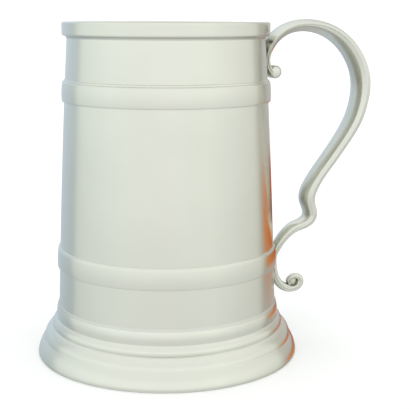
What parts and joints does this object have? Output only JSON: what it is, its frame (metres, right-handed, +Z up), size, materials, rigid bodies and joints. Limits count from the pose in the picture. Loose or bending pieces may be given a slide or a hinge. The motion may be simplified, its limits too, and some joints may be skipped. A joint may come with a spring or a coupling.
{
  "type": "pewter tankard",
  "caption": "Lidless pewter pint tankard: tapering drum with applied lip and two hoops, stepped hollow foot, plain floor and a cast broken-scroll handle.",
  "frame": {"origin": "on the table at the centre of the foot, on the drum's axis", "axes": "+Z up along the drum's axis, +X from the axis towards the handle, +Y across the handle"},
  "size_m": [0.1434, 0.108, 0.1366],
  "materials": {
    "pewter_wall": "satin pewter, faint lathe rings round the turned walls",
    "pewter_cast": "cast pewter, hand polished along the strap, softer shine than the walls",
    "soft_solder": "soft solder wiped into the seams, duller and slightly greyer than the pewter"
  },
  "bodies": {
    "root": {"drum": "pewter_wall", "lip_ring": "pewter_wall", "upper_band": "pewter_wall", "lower_band": "pewter_wall", "foot": "pewter_wall", "floor_disc": "pewter_wall", "handle": "pewter_cast", "solder_lip": "soft_solder", "solder_foot": "soft_solder", "solder_floor": "soft_solder", "solder_handle_upper": "soft_solder", "solder_handle_lower": "soft_solder"}
  },
  "joints": []
}
